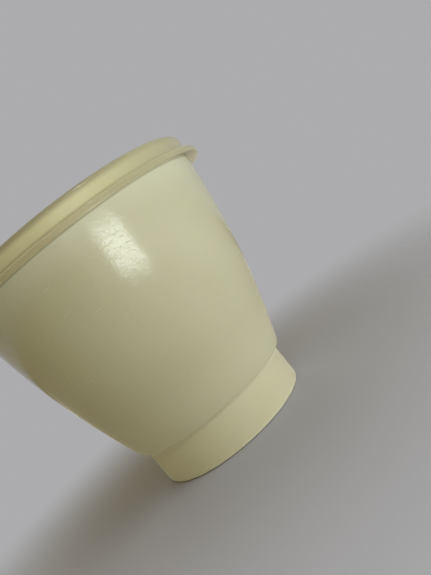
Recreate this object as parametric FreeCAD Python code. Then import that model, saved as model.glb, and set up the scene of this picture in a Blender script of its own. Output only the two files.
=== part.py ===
# An insulated yogurt maker that needs no power: a tapered vessel on a foot ring, closed by a pressed-on lid
# with a flange. A foam cup and a liner stand inside its shell, and a pot with its own cap lifts out.
# Millimetres, +Z up along the axis of turning, origin at the centre of the face the foot rests on.
import FreeCAD, Part
import math
import os

# Outer shell: the wall swells by WALL_BULGE beyond a straight cone
SHELL_BASE_RADIUS = 46.6
SHELL_LIP_RADIUS = 69.8
SHELL_HEIGHT = 103.7
WALL_BULGE = 3.55
SHELL_WALL = 2.0
SHELL_CORNER_ROUND = 2.6
COLLAR_STEP = 0.7

# Foot ring, set back under the shell's corner and pushed over a spigot
FOOT_HEIGHT = 20.9
FOOT_SETBACK = 3.2
FOOT_WALL = 2.4
FOOT_WEB_WIDTH = 7.0
FOOT_RIM_WIDTH = 4.8
FOOT_RIM_HEIGHT = 4.0
FOOT_EDGE_ROUND = 2.2
FOOT_TOP_ROUND = 0.5
SPIGOT_HEIGHT = 4.5
SPIGOT_GAP = 0.1

# Corners where a floor turns into a wall inside the shell: each hollow is sharper than what stands in it
FLOOR_ROUND = 4.6
FLOOR_EASE = 2.0
POT_HOLLOW_ROUND = 6.0

# Insulation and liner
FOAM_THICKNESS = 7.0
FOAM_GAP = 0.2
LINER_WALL = 1.4

# Pot and its plug cap, with a bar to lift it by
POT_WALL = 1.6
POT_GAP = 0.8
CAP_WALL = 1.6
CAP_GAP = 0.4
CAP_DEPTH = 9.0
GRIP_LENGTH = 50.0
GRIP_WIDTH = 6.0
GRIP_RISE = 1.5
GRIP_ROUND = 1.2
HEADROOM = 1.5

# Lid
LID_RISE = 11.2
LID_WALL = 2.0
LID_TOP_WALL = 2.2
LID_GAP = 0.3
LID_EDGE_ROUND = 2.1
LID_RECESS = 3.6
FLANGE_WIDTH = 4.3
FLANGE_HEIGHT = 3.2
FLANGE_DROOP = 1.7
FLANGE_TOP_ROUND = 0.8
FLANGE_EDGE_ROUND = 0.5
RIM_ROUND = 0.5

# Insulated underside of the lid, which hangs in the liner's mouth
PLUG_GAP = 0.6
LID_FOAM_THICKNESS = 12.0
PANEL_WALL = 1.6
PANEL_ROUND = 3.0
RIB_WALL = 1.8
RIB_HEIGHT = 3.0
RIB_GAP = 0.2

# Heights, from the foot up to the lid's top and then down through the lid to the pot's rim
Z_FLOOR = FOOT_HEIGHT
Z_LIP = Z_FLOOR + SHELL_HEIGHT
Z_LID_TOP = Z_LIP + LID_RISE
Z_SEAT = Z_LID_TOP - LID_TOP_WALL
Z_RIM = Z_SEAT - LINER_WALL
Z_FOAM = Z_FLOOR + SHELL_WALL
Z_LINER = Z_FOAM + FOAM_THICKNESS
Z_POT = Z_LINER + LINER_WALL
Z_LID_PANEL = Z_LID_TOP - LID_RECESS
Z_LID_UNDER = Z_LID_PANEL - LID_TOP_WALL
Z_LID_FOAM = Z_LID_UNDER - LID_FOAM_THICKNESS
Z_INNER_PANEL = Z_LID_FOAM - PANEL_WALL
Z_CAP = Z_INNER_PANEL - HEADROOM - GRIP_RISE
Z_POT_RIM = Z_CAP - CAP_WALL
Z_CAP_FLOOR = Z_CAP - CAP_DEPTH

# Insets of the nested walls, measured inwards and square to the shell's outer face
FOAM_OUTSIDE = SHELL_WALL + FOAM_GAP
FOAM_INSIDE = FOAM_OUTSIDE + FOAM_THICKNESS
LINER_OUTSIDE = FOAM_INSIDE + FOAM_GAP
LINER_INSIDE = LINER_OUTSIDE + LINER_WALL
POT_OUTSIDE = LINER_INSIDE + POT_GAP
POT_INSIDE = POT_OUTSIDE + POT_WALL
CAP_OUTSIDE = POT_INSIDE + CAP_GAP
CAP_INSIDE = CAP_OUTSIDE + CAP_WALL

# Radii of the foot, of the rim, and of what fits over and into the rim
FOOT_RADIUS = SHELL_BASE_RADIUS - FOOT_SETBACK
SPIGOT_RADIUS = FOOT_RADIUS - FOOT_WEB_WIDTH
COLLAR_RADIUS = SHELL_LIP_RADIUS - COLLAR_STEP
SKIRT_RADIUS = COLLAR_RADIUS + LID_GAP
LID_RADIUS = SKIRT_RADIUS + LID_WALL
FLANGE_RADIUS = LID_RADIUS + FLANGE_WIDTH
PLUG_RADIUS = COLLAR_RADIUS - LINER_INSIDE - PLUG_GAP
PANEL_INSIDE = PLUG_RADIUS - PANEL_WALL
RIB_RADIUS = PANEL_INSIDE - RIB_GAP
RIB_INSIDE = RIB_RADIUS - RIB_WALL
HOLLOW_ROUND = FLOOR_ROUND - FLOOR_EASE

# The shell's outer face in half section: an arc from base to lip, of which the nested walls are offsets
LEAN = SHELL_LIP_RADIUS - SHELL_BASE_RADIUS
CHORD = math.hypot(LEAN, SHELL_HEIGHT)
ARC_RADIUS = CHORD ** 2 / (8 * WALL_BULGE) + WALL_BULGE / 2
ARC_DEPTH = ARC_RADIUS - WALL_BULGE
ARC_R = (SHELL_BASE_RADIUS + SHELL_LIP_RADIUS) / 2 - ARC_DEPTH * SHELL_HEIGHT / CHORD
ARC_Z = (Z_FLOOR + Z_LIP) / 2 + ARC_DEPTH * LEAN / CHORD

ORIGIN = FreeCAD.Vector(0, 0, 0)
AXIS = FreeCAD.Vector(0, 0, 1)
FULL_TURN = 360
TOLERANCE = 0.001


def at(r, z):
    """A point of the half section: radius r, height z."""
    return FreeCAD.Vector(r, 0, z)


def wall_radius(inset, z):
    """Radius at height z of the wall that lies this far inside the shell's outer face."""
    return ARC_R + math.sqrt((ARC_RADIUS - inset) ** 2 - (z - ARC_Z) ** 2)


def mouth(inset):
    """The point where that wall turns upright, in line with the shell's collar."""
    r = COLLAR_RADIUS - inset
    return (r, ARC_Z - math.sqrt((ARC_RADIUS - inset) ** 2 - (r - ARC_R) ** 2))


def corner(inset, z):
    """The point where that wall meets a flat face at height z."""
    return (wall_radius(inset, z), z)


def wall_arc(inset, low, high):
    """The wall's curved edge between two heights."""
    heights = (low, (low + high) / 2, high)
    return Part.Arc(*[at(*corner(inset, z)) for z in heights]).toShape()


def lines(points):
    """Straight edges through the points of a half section."""
    return [Part.LineSegment(at(*a), at(*b)).toShape() for a, b in zip(points, points[1:])]


def turned(edges):
    """The solid that a closed half section sweeps round the axis."""
    wire = Part.Wire(Part.__sortEdges__(edges))
    return Part.Face(wire).revolve(ORIGIN, AXIS, FULL_TURN)


def ring_edges(solid, r, z):
    """The solid's circular edge round the axis at radius r and height z."""
    circles = [edge for edge in solid.Edges if isinstance(edge.Curve, Part.Circle)]
    level = [edge for edge in circles if abs(edge.Curve.Center.z - z) < TOLERANCE]
    return [edge for edge in level if abs(edge.Curve.Radius - r) < TOLERANCE]


def rounded(solid, radius, *corners):
    """The solid with its ring edges at these (r, z) corners rounded."""
    edges = [edge for r, z in corners for edge in ring_edges(solid, r, z)]
    return solid.makeFillet(radius, edges)


def cup(outside, inside, under, floor, rim, keel=()):
    """A cup between two insets. Its rim runs from the top of the outer wall to the top of the inner wall,
    and keel holds the points of what hangs under its floor."""
    outer_top = rim[0][1]
    inner_top = rim[-1][1]
    edges = [wall_arc(outside, under, outer_top), wall_arc(inside, floor, inner_top)]
    edges += lines([(0, under), *keel, corner(outside, under)])
    edges += lines(rim)
    edges += lines([corner(inside, floor), (0, floor), (0, under)])
    return turned(edges)


def outer_shell():
    """The visible tapered body, with a set-in collar for the lid and a spigot for the foot."""
    spigot_inside = SPIGOT_RADIUS - SHELL_WALL
    spigot_end = Z_FLOOR - SPIGOT_HEIGHT
    keel = [(spigot_inside, Z_FLOOR), (spigot_inside, spigot_end)]
    keel += [(SPIGOT_RADIUS, spigot_end), (SPIGOT_RADIUS, Z_FLOOR)]
    rim = [(SHELL_LIP_RADIUS, Z_LIP), (COLLAR_RADIUS, Z_LIP), (COLLAR_RADIUS, Z_RIM)]
    rim += [(COLLAR_RADIUS - SHELL_WALL, Z_RIM), mouth(SHELL_WALL)]
    shell = cup(0, SHELL_WALL, Z_FLOOR, Z_FOAM, rim, keel)
    shell = rounded(shell, SHELL_CORNER_ROUND, corner(0, Z_FLOOR))
    return rounded(shell, HOLLOW_ROUND, corner(SHELL_WALL, Z_FOAM))


def foot_ring():
    """The straight foot: a thick rounded rim below, and a web above that sits on the shell's spigot."""
    bore = SPIGOT_RADIUS + SPIGOT_GAP
    web_under = FOOT_HEIGHT - FOOT_WALL
    wall_inside = FOOT_RADIUS - FOOT_WALL
    rim_inside = FOOT_RADIUS - FOOT_RIM_WIDTH
    section = [(rim_inside, 0), (FOOT_RADIUS, 0), (FOOT_RADIUS, FOOT_HEIGHT), (bore, FOOT_HEIGHT)]
    section += [(bore, web_under), (wall_inside, web_under), (wall_inside, FOOT_RIM_HEIGHT)]
    section += [(rim_inside, FOOT_RIM_HEIGHT), (rim_inside, 0)]
    foot = turned(lines(section))
    foot = rounded(foot, FOOT_EDGE_ROUND, (FOOT_RADIUS, 0))
    return rounded(foot, FOOT_TOP_ROUND, (FOOT_RADIUS, FOOT_HEIGHT))


def insulation_cup():
    """The foam moulding that fills the space between shell and liner."""
    rim = [mouth(FOAM_OUTSIDE), (COLLAR_RADIUS - FOAM_OUTSIDE, Z_RIM)]
    rim += [(COLLAR_RADIUS - FOAM_INSIDE, Z_RIM), mouth(FOAM_INSIDE)]
    foam = cup(FOAM_OUTSIDE, FOAM_INSIDE, Z_FOAM, Z_LINER, rim)
    foam = rounded(foam, FLOOR_ROUND, corner(FOAM_OUTSIDE, Z_FOAM))
    return rounded(foam, HOLLOW_ROUND, corner(FOAM_INSIDE, Z_LINER))


def inner_liner():
    """The wipe-clean well, whose flange covers the foam and the shell's rim."""
    inner = COLLAR_RADIUS - LINER_INSIDE
    rim = [mouth(LINER_OUTSIDE), (COLLAR_RADIUS - LINER_OUTSIDE, Z_RIM)]
    rim += [(COLLAR_RADIUS, Z_RIM), (COLLAR_RADIUS, Z_SEAT), (inner, Z_SEAT), mouth(LINER_INSIDE)]
    liner = cup(LINER_OUTSIDE, LINER_INSIDE, Z_LINER, Z_POT, rim)
    liner = rounded(liner, FLOOR_ROUND, corner(LINER_OUTSIDE, Z_LINER))
    liner = rounded(liner, HOLLOW_ROUND, corner(LINER_INSIDE, Z_POT))
    return rounded(liner, RIM_ROUND, (inner, Z_SEAT))


def yogurt_pot():
    """The lift-out pot that stands on the liner's floor."""
    floor = Z_POT + POT_WALL
    rim = [corner(POT_OUTSIDE, Z_POT_RIM), corner(POT_INSIDE, Z_POT_RIM)]
    pot = cup(POT_OUTSIDE, POT_INSIDE, Z_POT, floor, rim)
    pot = rounded(pot, FLOOR_ROUND, corner(POT_OUTSIDE, Z_POT))
    pot = rounded(pot, POT_HOLLOW_ROUND, corner(POT_INSIDE, floor))
    return rounded(pot, RIM_ROUND, corner(POT_INSIDE, Z_POT_RIM))


def grip_bar():
    """The upright bar with round ends that crosses the cap's dish, rooted halfway into its floor."""
    root = Z_CAP_FLOOR - CAP_WALL / 2
    end = FreeCAD.Vector(GRIP_LENGTH / 2, 0, root)
    side = FreeCAD.Vector(GRIP_LENGTH / 2 - GRIP_WIDTH / 2, GRIP_WIDTH / 2, root)
    half = [FreeCAD.Vector(side.x, -side.y, root), end, side]
    other_half = [FreeCAD.Vector(-point.x, -point.y, root) for point in half]
    edges = [Part.Arc(*half).toShape(), Part.LineSegment(half[2], other_half[0]).toShape()]
    edges += [Part.Arc(*other_half).toShape(), Part.LineSegment(other_half[2], half[0]).toShape()]
    bar = Part.Face(Part.Wire(edges)).extrude(AXIS * (Z_CAP + GRIP_RISE - root))
    return bar.makeFillet(GRIP_ROUND, [edge for edge in bar.Edges if edge.BoundBox.ZMin > Z_CAP])


def pot_cap():
    """The plug cap of the pot: a dish in the pot's mouth, a flange on its rim and the grip bar."""
    flange = wall_radius(POT_OUTSIDE, Z_POT_RIM)
    under = Z_CAP_FLOOR - CAP_WALL
    rim = [corner(CAP_OUTSIDE, Z_POT_RIM), (flange, Z_POT_RIM), (flange, Z_CAP), corner(CAP_INSIDE, Z_CAP)]
    dish = cup(CAP_OUTSIDE, CAP_INSIDE, under, Z_CAP_FLOOR, rim)
    dish = rounded(dish, HOLLOW_ROUND, corner(CAP_OUTSIDE, under))
    dish = rounded(dish, RIM_ROUND, (flange, Z_CAP))
    return dish.fuse(grip_bar()).removeSplitter()


def lid():
    """The visible lid: a flange over the lip, an upright wall, and a panel set below its rim."""
    recess = PLUG_RADIUS - LID_WALL
    skirt_end = Z_LIP + LID_GAP
    flange_under = skirt_end - FLANGE_DROOP
    flange_top = flange_under + FLANGE_HEIGHT
    rib_end = Z_LID_UNDER - RIB_HEIGHT
    section = [(0, Z_LID_PANEL), (recess, Z_LID_PANEL), (recess, Z_LID_TOP), (LID_RADIUS, Z_LID_TOP)]
    section += [(LID_RADIUS, flange_top), (FLANGE_RADIUS, flange_top), (FLANGE_RADIUS, flange_under)]
    section += [(SKIRT_RADIUS, skirt_end), (SKIRT_RADIUS, Z_SEAT), (PLUG_RADIUS, Z_SEAT)]
    section += [(PLUG_RADIUS, Z_LID_UNDER), (RIB_RADIUS, Z_LID_UNDER), (RIB_RADIUS, rib_end)]
    section += [(RIB_INSIDE, rib_end), (RIB_INSIDE, Z_LID_UNDER), (0, Z_LID_UNDER), (0, Z_LID_PANEL)]
    cover = turned(lines(section))
    cover = rounded(cover, LID_EDGE_ROUND, (LID_RADIUS, Z_LID_TOP))
    cover = rounded(cover, FLANGE_TOP_ROUND, (FLANGE_RADIUS, flange_top))
    cover = rounded(cover, FLANGE_EDGE_ROUND, (FLANGE_RADIUS, flange_under))
    return rounded(cover, RIM_ROUND, (recess, Z_LID_TOP), (recess, Z_LID_PANEL))


def lid_insulation():
    """The foam disc under the lid, inside the locating rib."""
    edge = RIB_INSIDE - FOAM_GAP
    section = [(0, Z_LID_FOAM), (edge, Z_LID_FOAM), (edge, Z_LID_UNDER), (0, Z_LID_UNDER), (0, Z_LID_FOAM)]
    return turned(lines(section))


def lid_inner_panel():
    """The dish under the lid that holds the foam disc, pushed over the locating rib."""
    section = [(0, Z_INNER_PANEL), (PLUG_RADIUS, Z_INNER_PANEL), (PLUG_RADIUS, Z_LID_UNDER)]
    section += [(PANEL_INSIDE, Z_LID_UNDER), (PANEL_INSIDE, Z_LID_FOAM), (0, Z_LID_FOAM), (0, Z_INNER_PANEL)]
    return rounded(turned(lines(section)), PANEL_ROUND, (PLUG_RADIUS, Z_INNER_PANEL))


VESSEL = [outer_shell, foot_ring, insulation_cup, inner_liner]
POT = [yogurt_pot, pot_cap]
COVER = [lid, lid_insulation, lid_inner_panel]

os.makedirs("parts", exist_ok=True)
for piece in VESSEL + POT + COVER:
    solid = piece()
    solid.exportStep(f"parts/{piece.__name__}.step")
    print(f"{piece.__name__}: valid {solid.isValid()}, {solid.Volume / 1000:.1f} cubic centimetres")
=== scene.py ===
# %% [markdown]
# A lidded yogurt maker in cream polyethylene
# This lesson dresses a round vessel that keeps warm milk warm without power. Its outside is three
# mouldings: a tapered body, a foot ring and a pressed-on lid. The solids come from CAD and give every
# piece its place. Here the outside gets softer edges, mould marks and a worn plastic finish, and the
# pieces inside get theirs.

# %% The frame
import bmesh
import bpy
import math
from mathutils import Matrix, Vector


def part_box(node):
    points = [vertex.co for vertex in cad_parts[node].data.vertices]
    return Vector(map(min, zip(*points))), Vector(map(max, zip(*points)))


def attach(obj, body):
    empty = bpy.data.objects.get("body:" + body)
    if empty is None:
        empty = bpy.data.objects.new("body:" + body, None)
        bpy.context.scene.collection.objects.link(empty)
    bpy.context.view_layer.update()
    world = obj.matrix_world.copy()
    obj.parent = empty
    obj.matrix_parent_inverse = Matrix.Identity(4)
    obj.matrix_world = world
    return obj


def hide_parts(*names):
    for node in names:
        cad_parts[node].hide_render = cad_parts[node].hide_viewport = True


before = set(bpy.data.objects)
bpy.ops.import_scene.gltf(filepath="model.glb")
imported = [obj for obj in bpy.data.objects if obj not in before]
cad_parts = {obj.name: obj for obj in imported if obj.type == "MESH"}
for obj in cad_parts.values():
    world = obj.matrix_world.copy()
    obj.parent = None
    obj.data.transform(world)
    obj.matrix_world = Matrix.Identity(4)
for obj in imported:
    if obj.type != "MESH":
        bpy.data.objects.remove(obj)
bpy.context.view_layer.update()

# %% [markdown]
# The camera
# The photograph was taken from about 0.3 m with the vessel leaning to the left. An upright model is
# easier to reuse, so the camera leans instead: it looks a little downwards, then rolls about its own line
# of sight. A rotation about X followed by one about the camera's own Z says exactly that, without a
# target to aim at.

# %% Camera
CAMERA_PLACE = Vector((0.0386, -0.3006, 0.0860))
CAMERA_TILT = math.radians(85.6)
CAMERA_ROLL = math.radians(-39.1)
LENS = 35.63
SENSOR_WIDTH = 36.0
NEAREST_SEEN = 0.01

scene = bpy.context.scene
scene.view_settings.view_transform = "Standard"
camera = bpy.data.objects.new("camera", bpy.data.cameras.new("camera"))
camera.data.lens = LENS
camera.data.sensor_width = SENSOR_WIDTH
camera.data.clip_start = NEAREST_SEEN
tilted = Matrix.Rotation(CAMERA_TILT, 4, "X") @ Matrix.Rotation(CAMERA_ROLL, 4, "Z")
camera.matrix_world = Matrix.Translation(CAMERA_PLACE) @ tilted
scene.collection.objects.link(camera)
scene.camera = camera
print("camera distance to the axis:", round(CAMERA_PLACE.xy.length, 3), "m")

# %% [markdown]
# Arithmetic on sockets
# A finish is a small calculation that runs at every point of a surface. Wiring it by hand in the node
# editor is slow to read, so one class wraps a socket, and each of Python's operators adds the Math node
# that it stands for. Every other node comes from the node method: first its settings, then its sockets.

# %% The class for shader maths
class Wire:
    """A socket of a node tree that Python's operators work on."""

    def __init__(self, tree, socket=None):
        self.tree = tree
        self.socket = socket

    def node(self, kind, settings, inputs, output=0):
        """Add a node of this kind and return one of its outputs."""
        made = self.tree.nodes.new(kind)
        for name, value in settings.items():
            setattr(made, name, value)
        for key, value in inputs.items():
            self.connect(made.inputs[key], value)
        return Wire(self.tree, made.outputs[output])

    def connect(self, socket, value):
        """Link a wire to a socket, or set a plain value on it."""
        if isinstance(value, Wire):
            self.tree.links.new(value.socket, socket)
        else:
            socket.default_value = value

    def math(self, operation, first, second):
        """A Math node on two values."""
        return self.node("ShaderNodeMath", {"operation": operation}, {0: first, 1: second})

    def __add__(self, other):
        return self.math("ADD", self, other)

    def __radd__(self, other):
        return self.math("ADD", other, self)

    def __sub__(self, other):
        return self.math("SUBTRACT", self, other)

    def __rsub__(self, other):
        return self.math("SUBTRACT", other, self)

    def __mul__(self, other):
        return self.math("MULTIPLY", self, other)

    def __rmul__(self, other):
        return self.math("MULTIPLY", other, self)

    def vector(self, operation, other, output=0):
        """A Vector Math node on this wire and a plain vector."""
        return self.node("ShaderNodeVectorMath", {"operation": operation}, {0: self, 1: other}, output)

    def step(self, low, high):
        """0 below low, 1 above high, and a smooth rise between them."""
        settings = {"interpolation_type": "SMOOTHSTEP"}
        return self.node("ShaderNodeMapRange", settings, {"Value": self, "From Min": low, "From Max": high})

    def tint(self, first, second):
        """The first colour where this wire is 0, the second where it is 1."""
        return self.node("ShaderNodeMix", {"data_type": "RGBA"}, {0: self, 6: first, 7: second}, 2)

    def noise(self, scale, detail):
        """Soft noise, taking this wire as the place to look it up."""
        inputs = {"Vector": self, "Scale": scale, "Detail": detail, "Roughness": 0.5}
        return self.node("ShaderNodeTexNoise", {"normalize": True}, inputs, "Fac")


def colour(red, green, blue):
    """A screen colour of 0 to 255 as the linear colour that a shader takes."""
    shares = [channel / 255 for channel in (red, green, blue)]
    return [c / 12.92 if c <= 0.04045 else ((c + 0.055) / 1.055) ** 2.4 for c in shares] + [1.0]


print("mid grey in linear light:", round(colour(128, 128, 128)[0], 3))

# %% [markdown]
# The backdrop
# An even grey stands behind the object. It is what the camera and the reflections see of the world. The
# light that the world gives is set apart from it, warmer and weaker, so that the backdrop's grey can be
# chosen without lighting the object. A Light Path node tells the two kinds of ray apart.

# %% Backdrop
BACKDROP = colour(172, 172, 174)
SKY = (1.0, 0.80, 0.42, 1.0)
SKY_STRENGTH = 0.265

world = bpy.data.worlds.new("studio")
world.use_nodes = True
scene.world = world
wall = Wire(world.node_tree)
wall.tree.nodes.remove(wall.tree.nodes["Background"])
seen = [wall.node("ShaderNodeLightPath", {}, {}, name) for name in
        ("Is Camera Ray", "Is Glossy Ray", "Is Transmission Ray")]
shown = wall.math("MAXIMUM", wall.math("MAXIMUM", seen[0], seen[1]), seen[2])
sky = wall.node("ShaderNodeBackground", {}, {"Color": SKY, "Strength": SKY_STRENGTH})
backdrop = wall.node("ShaderNodeBackground", {}, {"Color": BACKDROP, "Strength": 1.0})
either = wall.node("ShaderNodeMixShader", {}, {0: shown, 1: sky, 2: backdrop})
wall.connect(wall.tree.nodes["World Output"].inputs["Surface"], either)
print("light of the world:", SKY_STRENGTH)

# %% [markdown]
# The floor
# A pale floor catches the contact shadow. Seen by a rolled camera, a horizon would run across the picture
# at a slant, so the floor turns clear with distance and the backdrop takes over. It lies a hair under the
# foot, so that the two flat faces don't share a plane. Light that bounces off it is paler than the grey
# that is seen.

# %% Floor
FLOOR_GREY = colour(178, 180, 186)
FLOOR_BOUNCE = colour(234, 234, 230)
FLOOR_RADIUS = 1.2
FLOOR_STEPS = 96
FLOOR_DROP = 0.0002
CLEAR_FROM = 0.06
CLEAR_AT = 0.26

floor_mesh = bpy.data.meshes.new("floor")
bm = bmesh.new()
bmesh.ops.create_circle(bm, cap_ends=True, segments=FLOOR_STEPS, radius=FLOOR_RADIUS)
bm.to_mesh(floor_mesh)
bm.free()
floor = bpy.data.objects.new("floor", floor_mesh)
floor.location.z = -FLOOR_DROP
scene.collection.objects.link(floor)

floor_finish = bpy.data.materials.new("pale_floor")
floor_finish.use_nodes = True
paper = Wire(floor_finish.node_tree)
paper.tree.nodes.remove(paper.tree.nodes["Principled BSDF"])
place = paper.node("ShaderNodeTexCoord", {}, {}, "Object")
distance = paper.node("ShaderNodeVectorMath", {"operation": "LENGTH"}, {0: place}, "Value")
looked_at = paper.node("ShaderNodeLightPath", {}, {}, "Is Camera Ray")
matt = paper.node("ShaderNodeBsdfDiffuse", {}, {"Color": looked_at.tint(FLOOR_BOUNCE, FLOOR_GREY)})
clear = paper.node("ShaderNodeBsdfTransparent", {}, {})
fade = distance.step(CLEAR_FROM, CLEAR_AT) * looked_at
faded = paper.node("ShaderNodeMixShader", {}, {0: fade, 1: matt, 2: clear})
paper.connect(paper.tree.nodes["Material Output"].inputs["Surface"], faded)
floor_mesh.materials.append(floor_finish)
print("floor clear beyond", CLEAR_AT, "m")

# %% [markdown]
# The light
# One bright patch with straight sides shows on the body, the mirror image of a window. Where it lies, and
# which way the surface faces there, give the window's direction: right of the camera and level with the
# foot. A card in that place is only mirrored, and so are a larger, weaker one for the wall round the
# window and a small one that glints on the lid's edge. The other lights aren't mirrored. Three give the
# slow fall of light to the left, one low behind the vessel pales its outline, and a weak one above keeps
# the lid's top from going dark.

# %% Lamps
BODY_CENTRE = (0.0, 0.0, 0.075)
RIM_NEAR = (0.021, -0.064, 0.103)
LID_EDGE = (0.021, -0.068, 0.134)


def panel(name, place, target, size, power, tone, mirrored=False):
    """A rectangular light that faces a target, either mirrored in the shine or spread as soft light."""
    lamp = bpy.data.lights.new(name, "AREA")
    lamp.shape = "RECTANGLE"
    lamp.size, lamp.size_y = size
    lamp.energy = power
    lamp.color = tone
    holder = bpy.data.objects.new(name, lamp)
    facing = Vector(target) - Vector(place)
    turned = facing.to_track_quat("-Z", "Y").to_matrix().to_4x4()
    holder.matrix_world = Matrix.Translation(place) @ turned
    holder.visible_camera = False
    holder.visible_glossy = mirrored
    holder.visible_diffuse = not mirrored
    scene.collection.objects.link(holder)
    print(f"{name}: {size[0]} by {size[1]} m, {facing.length:.2f} m away")
    return holder


panel("window", (0.135, -0.2825, 0.060), RIM_NEAR, size=(0.122, 0.070), power=0.25,
      tone=(0.91, 1.0, 0.94), mirrored=True)
panel("window_wall", (0.090, -0.335, 0.116), RIM_NEAR, size=(0.24, 0.20), power=0.08,
      tone=(0.92, 1.0, 0.98), mirrored=True)
panel("glint", (0.135, -0.223, 0.364), LID_EDGE, size=(0.02, 0.03), power=0.13,
      tone=(1.0, 1.0, 0.95), mirrored=True)
soft_lights = [
    panel("front_fill", (0.060, -0.270, 0.201), RIM_NEAR, size=(0.14, 0.10), power=0.16,
          tone=(1.0, 1.0, 1.0)),
    panel("low_fill", (0.420, -0.220, 0.045), RIM_NEAR, size=(0.35, 0.08), power=0.36,
          tone=(0.85, 0.95, 1.05)),
    panel("room_light", (0.667, -0.346, 0.349), BODY_CENTRE, size=(0.7, 0.7), power=2.9,
          tone=(0.95, 0.98, 1.16))]
panel("back_fill", (-0.090, 0.690, 0.075), BODY_CENTRE, size=(0.25, 0.12), power=2.6,
      tone=(1.0, 0.98, 0.92))
top_light = panel("top_light", (-0.030, 0.220, 0.900), BODY_CENTRE, size=(0.3, 0.3), power=1.6,
                  tone=(0.80, 0.92, 1.15))

# %% [markdown]
# Turning a piece on the lathe
# Each outside piece is round, so it is drawn as half a section and spun about the axis. The body's wall is
# part of a circle: spinning one vertex about that circle's centre draws it as a compass would, exact and
# evenly divided. A full spin leaves doubled vertices where it closes, so they are merged.

# %% Lathe helpers
MM = 0.001
RING_STEPS = 160
SAME_PLACE = 1e-6


def point(bm, r, z):
    """A vertex of the half section, in millimetres from the axis and from the floor."""
    return bm.verts.new((r * MM, 0.0, z * MM))


def join(bm, verts):
    """Straight edges from each vertex to the next."""
    for first, second in zip(verts, verts[1:]):
        bm.edges.new((first, second))


def compass(bm, vert, centre, angle, steps):
    """Draw an arc from a vertex about a centre (r, z) and return its far end."""
    pivot = (centre[0] * MM, 0.0, centre[1] * MM)
    drawn = bmesh.ops.spin(bm, geom=[vert], cent=pivot, axis=(0, -1, 0), angle=angle, steps=steps)
    return [part for part in drawn["geom_last"] if isinstance(part, bmesh.types.BMVert)][0]


def turn(bm):
    """Spin the half section once round the axis, and close its seam and its poles."""
    section = bm.verts[:] + bm.edges[:]
    bmesh.ops.spin(bm, geom=section, cent=(0, 0, 0), axis=(0, 0, 1), angle=2 * math.pi,
                   steps=RING_STEPS, use_merge=True)
    bmesh.ops.remove_doubles(bm, verts=bm.verts[:], dist=SAME_PLACE)
    bmesh.ops.recalc_face_normals(bm, faces=bm.faces[:])


print("angle between the steps of a turn:", 360 / RING_STEPS, "degrees")

# %% [markdown]
# Round corners and finished pieces
# No moulding has sharp edges. Corners are rounded after the spin by bevelling whole rings of edges, which
# keeps them even all the way round. A finished piece is smooth except at its sharp edges; it hides the
# solid it stands for and hangs from the body that carries it.

# %% Rounding and finishing helpers
SHARP = math.radians(42)
AT_CORNER = 2e-5


def soften(bm, size, segments, *corners):
    """Round the rings of edges at these (r, z) corners."""
    found = []
    for r, z in corners:
        for edge in bm.edges:
            gaps = [max(abs(vert.co.xy.length - r * MM), abs(vert.co.z - z * MM)) for vert in edge.verts]
            if max(gaps) < AT_CORNER:
                found.append(edge)
    bmesh.ops.bevel(bm, geom=found, offset=size * MM, offset_type="OFFSET", segments=segments,
                    profile=0.5, affect="EDGES", material=-1, clamp_overlap=True)


def finished(bm, name, node, body):
    """Make the piece that stands for a CAD node, smooth except at its sharp edges."""
    for face in bm.faces:
        face.smooth = True
    for edge in bm.edges:
        edge.smooth = edge.calc_face_angle(0.0) < SHARP
    open_edges = sum(not edge.is_manifold for edge in bm.edges)
    mesh = bpy.data.meshes.new(name)
    bm.to_mesh(mesh)
    bm.free()
    piece = bpy.data.objects.new(name, mesh)
    scene.collection.objects.link(piece)
    evened = piece.modifiers.new("even shading", "WEIGHTED_NORMAL")
    evened.keep_sharp = True
    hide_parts(node)
    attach(piece, body)
    print(f"{name}: {len(mesh.polygons)} faces, {open_edges} open edges")
    return piece


print("edges stay sharp from", round(math.degrees(SHARP)), "degrees")

# %% [markdown]
# The wall's circle
# The body's wall leans out and swells a little between the foot and the lip. Two ends and the height of
# the swell over the straight line between them fix a circle: half the line and the swell give its radius,
# and its centre lies square to the middle of the line. The inner face is the same circle less the wall's
# thickness.

# %% Circle of the wall
LIP_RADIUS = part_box("outer_shell")[1][0] / MM
FOOT_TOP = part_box("foot_ring")[1][2] / MM
BASE_RADIUS = 46.6
LIP_HEIGHT = FOOT_TOP + 103.7
SWELL = 3.55

lean = LIP_RADIUS - BASE_RADIUS
rise = LIP_HEIGHT - FOOT_TOP
chord = math.hypot(lean, rise)
arc_radius = chord ** 2 / (8 * SWELL) + SWELL / 2
arc_depth = arc_radius - SWELL
ARC_CENTRE = ((BASE_RADIUS + LIP_RADIUS) / 2 - arc_depth * rise / chord,
              (FOOT_TOP + LIP_HEIGHT) / 2 + arc_depth * lean / chord)


def arc_angle(r, z):
    """The direction of a point of the half section from the wall arc's centre."""
    return math.atan2(z - ARC_CENTRE[1], r - ARC_CENTRE[0])


print("radius of the wall's circle:", round(arc_radius, 1), "mm")

# %% [markdown]
# The body
# The body is one injection moulding: the wall, a lower corner rounded where it sits on the foot, a set-in
# collar under the lid that carries the lid's skirt, and a spigot that the foot ring is pushed over. The
# nub and the groove under its floor are the marks of a mould. All of that is one half section, so one
# spin makes it.

# %% Body
SHELL_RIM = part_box("outer_shell")[1][2] / MM
SPIGOT_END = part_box("outer_shell")[0][2] / MM
WALL = 2.0
COLLAR = LIP_RADIUS - 0.7
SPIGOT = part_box("foot_ring")[1][0] / MM - 7.0
WALL_STEPS = 52
HOLLOW_STEPS = 40
BASE_ROUND = 1.8
LIP_ROUND = 0.3


def nub(z, top, foot, lift):
    """The corners of a nub on the axis: the radii of its end and of its foot, and its lift off a face."""
    return [(0, z + lift), (top, z + lift), (foot, z)]


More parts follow.
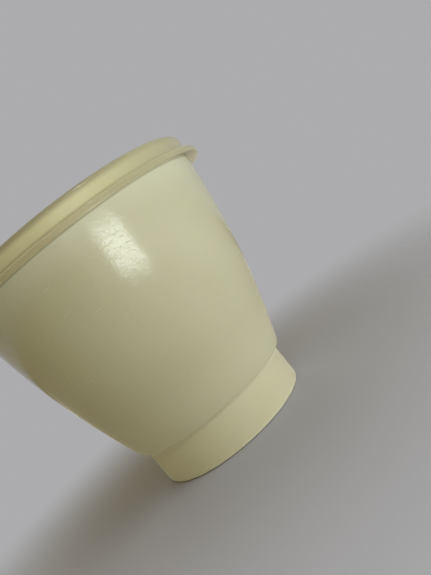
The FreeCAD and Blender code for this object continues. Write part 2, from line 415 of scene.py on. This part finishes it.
def band(r, z, slope, width, lift):
    """The corners of a low ring on a face, which a lift the other way makes a groove."""
    return [(r, z), (r + slope, z + lift), (r + width - slope, z + lift), (r + width, z)]


inner_radius = arc_radius - WALL
inner_low = FOOT_TOP + WALL
inner_r = ARC_CENTRE[0] + math.sqrt(inner_radius ** 2 - (inner_low - ARC_CENTRE[1]) ** 2)
mouth_r = COLLAR - WALL
mouth_z = ARC_CENTRE[1] - math.sqrt(inner_radius ** 2 - (mouth_r - ARC_CENTRE[0]) ** 2)

bm = bmesh.new()
under = [point(bm, r, z) for r, z in (
    *nub(FOOT_TOP, top=1.3, foot=1.7, lift=-0.7), *band(7.0, FOOT_TOP, slope=0.2, width=1.2, lift=-0.25),
    (SPIGOT - WALL, FOOT_TOP), (SPIGOT - WALL, SPIGOT_END), (SPIGOT, SPIGOT_END), (SPIGOT, FOOT_TOP),
    (BASE_RADIUS, FOOT_TOP))]
join(bm, under)
outer_turn = arc_angle(LIP_RADIUS, LIP_HEIGHT) - arc_angle(BASE_RADIUS, FOOT_TOP)
lip = compass(bm, under[-1], ARC_CENTRE, outer_turn, WALL_STEPS)
rim = [lip] + [point(bm, r, z) for r, z in (
    (COLLAR, LIP_HEIGHT), (COLLAR, SHELL_RIM), (mouth_r, SHELL_RIM), (mouth_r, mouth_z))]
join(bm, rim)
inner_turn = arc_angle(inner_r, inner_low) - arc_angle(mouth_r, mouth_z)
hollow = compass(bm, rim[-1], ARC_CENTRE, inner_turn, HOLLOW_STEPS)
join(bm, [hollow, point(bm, 0, inner_low)])
turn(bm)
soften(bm, BASE_ROUND, 8, (BASE_RADIUS, FOOT_TOP))
soften(bm, LIP_ROUND, 3, (LIP_RADIUS, LIP_HEIGHT), (COLLAR, SHELL_RIM),
       (SPIGOT, SPIGOT_END), (SPIGOT - WALL, SPIGOT_END))
body = finished(bm, "body_moulding", "outer_shell", "vessel")

# %% [markdown]
# The foot ring
# Under the body stands a straight ring. Its upper edge makes the crease that shows in the photograph, and
# its lower edge is worn round. It is a closed loop of corners, spun once and then rounded. The upright side
# is divided first, so that its faces don't become long slivers.

# %% Foot ring
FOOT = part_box("foot_ring")[1][0] / MM
BORE = SPIGOT + 0.1
WEB_UNDER = FOOT_TOP - 2.4
FOOT_INSIDE = FOOT - 2.4
FOOT_RIM_INSIDE = FOOT - 4.8
FOOT_RIM_TOP = 4.0
UPRIGHT_CUTS = 7
WORN_ROUND = 2.2
CREASE_ROUND = 0.5
RIM_ROUND = 0.4

bm = bmesh.new()
loop = [point(bm, r, z) for r, z in (
    (FOOT_RIM_INSIDE, 0), (FOOT, 0), (FOOT, FOOT_TOP), (BORE, FOOT_TOP), (BORE, WEB_UNDER),
    (FOOT_INSIDE, WEB_UNDER), (FOOT_INSIDE, FOOT_RIM_TOP), (FOOT_RIM_INSIDE, FOOT_RIM_TOP))]
join(bm, loop + loop[:1])
upright = [edge for edge in bm.edges if {vert.co.x for vert in edge.verts} == {loop[1].co.x}]
bmesh.ops.subdivide_edges(bm, edges=upright, cuts=UPRIGHT_CUTS)
turn(bm)
soften(bm, WORN_ROUND, 8, (FOOT, 0))
soften(bm, CREASE_ROUND, 4, (FOOT, FOOT_TOP))
soften(bm, RIM_ROUND, 3, (FOOT_RIM_INSIDE, 0), (FOOT_RIM_INSIDE, FOOT_RIM_TOP))
foot = finished(bm, "foot_moulding", "foot_ring", "vessel")

# %% [markdown]
# The lid
# The lid presses over the collar. From below: a flange to lift it by, an upright wall, a rounded top edge
# and a panel set a few millimetres down, so that vessels stack. The flange carries a fine ridge where the
# two halves of the mould met, and the panel a nub, a groove and a low ring, as moulded lids do.

# %% Lid
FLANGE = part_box("lid")[1][0] / MM
LID_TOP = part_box("lid")[1][2] / MM
SKIRT = COLLAR + 0.3
LID_WALL = SKIRT + 2.0
SKIRT_END = LIP_HEIGHT + 0.3
FLANGE_UNDER = SKIRT_END - 1.7
FLANGE_TOP = FLANGE_UNDER + 3.2
SEAT = LID_TOP - 2.2
PANEL = LID_TOP - 3.6
PANEL_UNDER = PANEL - 2.2
PLUG = 57.7
RECESS = PLUG - 2.0
RIB = 55.9
RIB_INSIDE = 54.1
RIB_END = PANEL_UNDER - 3.0
SEAM = 0.08
SEAM_HEIGHT = FLANGE_UNDER + 1.15
SEAM_HALF = 0.1
FLANGE_SIDE = FLANGE - SEAM
TOP_ROUND = 2.1
FLANGE_ROUND = 0.8
CORNER_ROUND = 0.45
RECESS_ROUND = 0.5

bm = bmesh.new()
chain = [point(bm, r, z) for r, z in (
    *nub(PANEL, top=1.4, foot=1.9, lift=0.5), *band(9.0, PANEL, slope=0.2, width=1.2, lift=-0.25),
    *band(RECESS - 9.0, PANEL, slope=0.4, width=2.0, lift=0.4),
    (RECESS, PANEL), (RECESS, LID_TOP), (LID_WALL, LID_TOP), (LID_WALL, FLANGE_TOP),
    (FLANGE_SIDE, FLANGE_TOP), (FLANGE_SIDE, SEAM_HEIGHT + SEAM_HALF), (FLANGE, SEAM_HEIGHT),
    (FLANGE_SIDE, SEAM_HEIGHT - SEAM_HALF), (FLANGE_SIDE, FLANGE_UNDER), (SKIRT, SKIRT_END), (SKIRT, SEAT),
    (PLUG, SEAT), (PLUG, PANEL_UNDER), (RIB, PANEL_UNDER), (RIB, RIB_END), (RIB_INSIDE, RIB_END),
    (RIB_INSIDE, PANEL_UNDER), (0, PANEL_UNDER))]
join(bm, chain)
turn(bm)
soften(bm, TOP_ROUND, 8, (LID_WALL, LID_TOP))
soften(bm, FLANGE_ROUND, 5, (FLANGE_SIDE, FLANGE_TOP))
soften(bm, CORNER_ROUND, 4, (FLANGE_SIDE, FLANGE_UNDER), (LID_WALL, FLANGE_TOP))
soften(bm, RECESS_ROUND, 4, (RECESS, LID_TOP), (RECESS, PANEL))
lid = finished(bm, "lid_moulding", "lid", "cover")

# %% [markdown]
# What each light leaves out
# The flange is thin, and in the photograph it throws hardly any shadow on the body. Cycles can leave an
# object out when a light looks for what blocks it: a collection marks the lid as excluded, and three soft
# lights take it. In the same way the light above leaves out the floor, whose tone is set by the other
# lights.

# %% Light links
def leaving_out(name, piece):
    """A collection that tells a light to leave out a piece."""
    group = bpy.data.collections.new(name)
    group.objects.link(piece)
    group.collection_objects[0].light_linking.link_state = "EXCLUDE"
    return group


lets_light_by = leaving_out("lets_light_by", lid)
for holder in soft_lights:
    holder.light_linking.blocker_collection = lets_light_by
top_light.light_linking.receiver_collection = leaving_out("stays_as_lit", floor)
print("lights that pass the lid:", [holder.name for holder in soft_lights])
print("the floor takes no light from:", top_light.name)

# %% [markdown]
# Strokes round the axis
# Washing and handling leave short marks that run mostly round a vessel. Unrolling the wall gives two
# lengths, the way round the axis and the height. Noise that is looked up in those, stretched along one
# direction and squeezed across it, comes out as strokes, and a high threshold keeps only its rarest
# peaks.

# %% Strokes
GIRTH = 0.065
STROKE_EDGE = 0.06


def height_of(place):
    """The height of a place over the floor."""
    return place.node("ShaderNodeSeparateXYZ", {}, {0: place}, "Z")


def way_round(place):
    """The way round the axis, as a length on a circle of about the body's radius."""
    x, y = [place.node("ShaderNodeSeparateXYZ", {}, {0: place}, axis) for axis in "XY"]
    return place.math("ARCTAN2", y, x) * GIRTH


def strokes(place, turned, length, width, rarity):
    """Short marks, 1 on a stroke: noise stretched along a direction at this angle to the way round."""
    around = way_round(place)
    height = height_of(place)
    along = around * math.cos(turned) + height * math.sin(turned)
    across = height * math.cos(turned) - around * math.sin(turned)
    flat = place.node("ShaderNodeCombineXYZ", {}, {"X": along * (1 / length), "Y": across * (1 / width)})
    return flat.noise(scale=1.0, detail=1.0).step(rarity, rarity + STROKE_EDGE)


print("once round the axis:", round(2 * math.pi * GIRTH, 3), "m")

# %% [markdown]
# Cream polyethylene
# The plastic is soft and waxy: its colour clouds slowly from paler to yellower, a fine orange peel breaks
# up the shine, and scuffs lie in worn areas. Near the lip a patch is rubbed, where a fine grain and a few
# nicks make the window's image uneven. A little light enters the plastic and comes out again beside where
# it went in.

# %% Plastic finish
LONG_SCUFFS = {"turned": 0.03, "length": 0.009, "width": 0.00035, "rarity": 0.70}
SHORT_SCUFFS = {"turned": 0.5, "length": 0.004, "width": 0.00030, "rarity": 0.73}
GRAIN = {"turned": 0.3, "length": 0.0010, "width": 0.0005, "rarity": 0.52}
NICKS = {"turned": 0.08, "length": 0.0026, "width": 0.0006, "rarity": 0.62}
SCUFF_TONE = colour(226, 224, 205)
RUBBED_SPOT = (0.0185, -0.0665, 0.105)
RUBBED_FULLY = 0.010
RUBBED_TO = 0.019
GLOW_DEPTH = 0.01


def waxy_plastic(name, pale, deep, shine, wear, glow, zones=()):
    """Worn polyethylene between two tones, with a roughness, a share of scuffs and a share of light let in.
    Each of the zones is a mask and the tone that the plastic takes where the mask is 1; the zones paint
    light or shade into the tone."""
    material = bpy.data.materials.new(name)
    material.use_nodes = True
    shader = material.node_tree.nodes["Principled BSDF"]
    start = Wire(material.node_tree)
    place = start.node("ShaderNodeTexCoord", {}, {}, "Object")

    cloud = place.noise(scale=16.0, detail=3.0).step(0.3, 0.7)
    mottle = place.noise(scale=240.0, detail=2.0)
    worn = place.noise(scale=38.0, detail=2.0).step(0.48, 0.66)
    peel = place.noise(scale=750.0, detail=2.0)
    wave = place.noise(scale=45.0, detail=1.0)
    both = start.math("MAXIMUM", strokes(place, **LONG_SCUFFS), strokes(place, **SHORT_SCUFFS))
    scuffs = both * (worn * 0.85 + 0.15) * wear
    rubbed = (1.0 - place.vector("DISTANCE", RUBBED_SPOT, "Value").step(RUBBED_FULLY, RUBBED_TO)) * wear
    grain = strokes(place, **GRAIN) * rubbed
    nicks = strokes(place, **NICKS) * rubbed

    tone = (cloud * 0.8 + mottle * 0.2).tint(pale, deep)
    for mask, zone_tone in zones:
        tone = mask(place).tint(tone, zone_tone)
    start.connect(shader.inputs["Base Color"], (scuffs * 0.45).tint(tone, SCUFF_TONE))
    roughness = shine + (mottle - 0.5) * 0.10 + scuffs * 0.25 + grain * 0.12 + nicks * 0.25
    start.connect(shader.inputs["Roughness"], roughness)
    relief = peel * 0.05 + wave * 0.10 - scuffs * 0.04 - grain * 0.006 - nicks * 0.020
    bump = start.node("ShaderNodeBump", {}, {"Strength": 1.0, "Distance": MM, "Height": relief}, "Normal")
    start.connect(shader.inputs["Normal"], bump)
    shader.inputs["IOR"].default_value = 1.5
    shader.inputs["Subsurface Weight"].default_value = glow
    shader.inputs["Subsurface Radius"].default_value = (1.0, 0.85, 0.5)
    shader.inputs["Subsurface Scale"].default_value = glow * GLOW_DEPTH
    print(f"{name}: {len(material.node_tree.nodes)} nodes")
    return material


print("the rubbed patch reaches", RUBBED_TO, "m from its middle")

# %% [markdown]
# Zones of painted light and shade
# In places a zone paints light or shade into the plastic's tone: paler for light bounced from below, a
# sheen towards the lip and light in the crease and on the foot's lower edge, darker for the shade under the
# lid's flange, on its top edge and in its corners. Each zone is a mask over the piece, 0 outside it and up
# to a share of 1 inside. The pieces are round, so heights describe these zones, in the millimetres of the
# half sections.

# %% Zones of body and foot
def above(place, low, high):
    """0 below the lower of two heights, 1 above the upper one."""
    return height_of(place).step(low * MM, high * MM)


def near_foot(place):
    """Painted light: the lower part of the body is made a little paler, for light bounced up from below."""
    return (1.0 - above(place, FOOT_TOP + 8.0, FOOT_TOP + 30.0)) * 0.6


def under_lid(place):
    """Painted sheen: rises towards the body's lip, over the last 15 mm under the lid, where the plastic is
    painted paler.
    """
    return above(place, LIP_HEIGHT - 15.5, LIP_HEIGHT + 0.5) * 0.5


def lip_gap_shade(place):
    """Painted shadow: the thin dark line on the lip, where the flange ends and shades the gap under it."""
    covered = 1.0 - above(place, LIP_HEIGHT - 0.1, LIP_HEIGHT + 0.2)
    return above(place, FLANGE_UNDER + 0.1, FLANGE_UNDER + 0.7) * covered * 0.5


def crease_corner_light(place):
    """Painted light: the body's rounded lower corner is made paler where it meets the foot, against the
    shade of the crease.
    """
    return (1.0 - above(place, FOOT_TOP + 0.1, FOOT_TOP + 1.7)) * 0.35


def in_crease(place):
    """Painted light: rises over the top of the foot, which lies in the body's shade, to lighten it."""
    return above(place, FOOT_TOP - 3.5, FOOT_TOP - 0.5) * 0.6


def foot_rim_light(place):
    """Painted light: the rounded lower edge of the foot is made paler, against the shade where it meets the
    floor.
    """
    return (1.0 - above(place, 0.4, 2.4)) * 0.6


# Every zone of body and foot paints light or shade into the tone.
BODY_ZONES = [
    (near_foot, colour(200, 199, 168)),
    (under_lid, colour(205, 206, 178)),
    (lip_gap_shade, colour(128, 122, 94)),
    (crease_corner_light, colour(236, 234, 210))]
FOOT_ZONES = [
    (in_crease, colour(230, 228, 200)),
    (foot_rim_light, colour(236, 234, 210))]
print("zones of body and foot:", len(BODY_ZONES), len(FOOT_ZONES))

# %% [markdown]
# Zones of the lid
# The lid's outer edge gets painted shade: its rounded top edge and the flange are darker, and so is the
# corner between flange and wall. One side is painted darker than the rest as shade, so its mask follows a
# direction across the axis and not a height.

# %% Zones of the lid
DARKER_WAY = (0.94, -0.34, 0.0)
DARKER_FROM = 0.040
DARKER_AT = 0.072


def beyond(place, near, far):
    """0 nearer to the axis than one distance, 1 beyond another."""
    flat = place.vector("MULTIPLY", (1.0, 1.0, 0.0))
    length = place.node("ShaderNodeVectorMath", {"operation": "LENGTH"}, {0: flat}, "Value")
    return length.step(near * MM, far * MM)


def top_edge(place):
    """Painted shade: rises over the rounded top edge of the lid, which takes little light."""
    high = above(place, LID_TOP - 4.4, LID_TOP - 1.0)
    return high * beyond(place, LID_WALL - 3.4, LID_WALL - 1.6) * 0.85


def above_flange(place):
    """Painted shade in the corner over the flange, which fades up the lid's wall."""
    return (1.0 - above(place, FLANGE_TOP + 0.6, FLANGE_TOP + 2.2)) * 0.7


def thin_flange(place):
    """Painted shade: rises over the lid's thin flange, which is made darker than the wall."""
    return beyond(place, LID_WALL + 0.2, LID_WALL + 1.6) * 0.8


def shaded_side(place):
    """Painted shade: rises towards the side of the lid that is made darker, where less light falls."""
    return place.vector("DOT_PRODUCT", DARKER_WAY, "Value").step(DARKER_FROM, DARKER_AT) * 0.8


# Every zone of the lid paints shade into the tone.
LID_ZONES = [
    (top_edge, colour(136, 132, 100)),
    (above_flange, colour(160, 153, 116)),
    (thin_flange, colour(170, 166, 132)),
    (shaded_side, colour(166, 165, 131))]
print("zones of the lid:", len(LID_ZONES))

# %% [markdown]
# Finishes of the outside
# Body, foot and lid are one kind of plastic. The body is the smoothest, so it mirrors the window sharply.
# The foot is duller, and the lid is yellower, less scuffed and thin enough to let more light in.

# %% Finishes of body, foot and lid
body.data.materials.append(waxy_plastic(
    "body_cream", colour(192, 192, 160), colour(188, 187, 154), shine=0.12, wear=1.0, glow=0.3,
    zones=BODY_ZONES))
foot.data.materials.append(waxy_plastic(
    "foot_cream", colour(205, 203, 170), colour(199, 197, 163), shine=0.30, wear=0.9, glow=0.3,
    zones=FOOT_ZONES))
lid.data.materials.append(waxy_plastic(
    "lid_cream", colour(206, 204, 165), colour(200, 197, 157), shine=0.22, wear=0.2, glow=0.6,
    zones=LID_ZONES))

# %% [markdown]
# The pieces inside
# The liner, pot and cap are seen when the lid and pot are lifted. Their CAD shapes are right, so they
# keep them and only get finishes: cleaner and whiter plastic, because they stay out of the light. The
# foam is expanded beads pressed together, so its finish is a honeycomb of rounded cells.

# %% Finishes of the inner pieces
BEADS_PER_METRE = 330.0
BEAD_ROUND = 0.16
BEAD_RELIEF = 0.0004


def bead_foam(name, tone, joint):
    """Expanded foam: pale beads with slightly darker joints."""
    material = bpy.data.materials.new(name)
    material.use_nodes = True
    shader = material.node_tree.nodes["Principled BSDF"]
    start = Wire(material.node_tree)
    place = start.node("ShaderNodeTexCoord", {}, {}, "Object")
    inputs = {"Vector": place, "Scale": BEADS_PER_METRE}
    gap = start.node("ShaderNodeTexVoronoi", {"feature": "DISTANCE_TO_EDGE"}, inputs, "Distance")
    bead = gap.step(0.0, BEAD_ROUND)
    start.connect(shader.inputs["Base Color"], bead.tint(joint, tone))
    start.connect(shader.inputs["Roughness"], 0.9 - bead * 0.15)
    inputs = {"Strength": 0.6, "Distance": BEAD_RELIEF, "Height": bead}
    start.connect(shader.inputs["Normal"], start.node("ShaderNodeBump", {}, inputs, "Normal"))
    print(f"{name}: {len(material.node_tree.nodes)} nodes")
    return material


def dress(node, material):
    """Give a CAD node a finish in place of the plain one it came with."""
    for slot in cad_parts[node].material_slots:
        slot.material = material


liner_finish = waxy_plastic(
    "liner_ivory", colour(206, 204, 184), colour(200, 197, 174), shine=0.38, wear=0.5, glow=0.2)
foam_finish = bead_foam("bead_foam", colour(224, 224, 218), colour(188, 187, 178))
pot_finish = waxy_plastic(
    "pot_milky", colour(214, 214, 204), colour(208, 207, 195), shine=0.34, wear=0.4, glow=0.4)
cap_finish = waxy_plastic(
    "cap_cream", colour(203, 199, 168), colour(196, 191, 157), shine=0.38, wear=0.5, glow=0.3)
dress("inner_liner", liner_finish)
dress("lid_inner_panel", liner_finish)
dress("yogurt_pot", pot_finish)
dress("pot_cap", cap_finish)
dress("insulation_cup", foam_finish)
dress("lid_insulation", foam_finish)
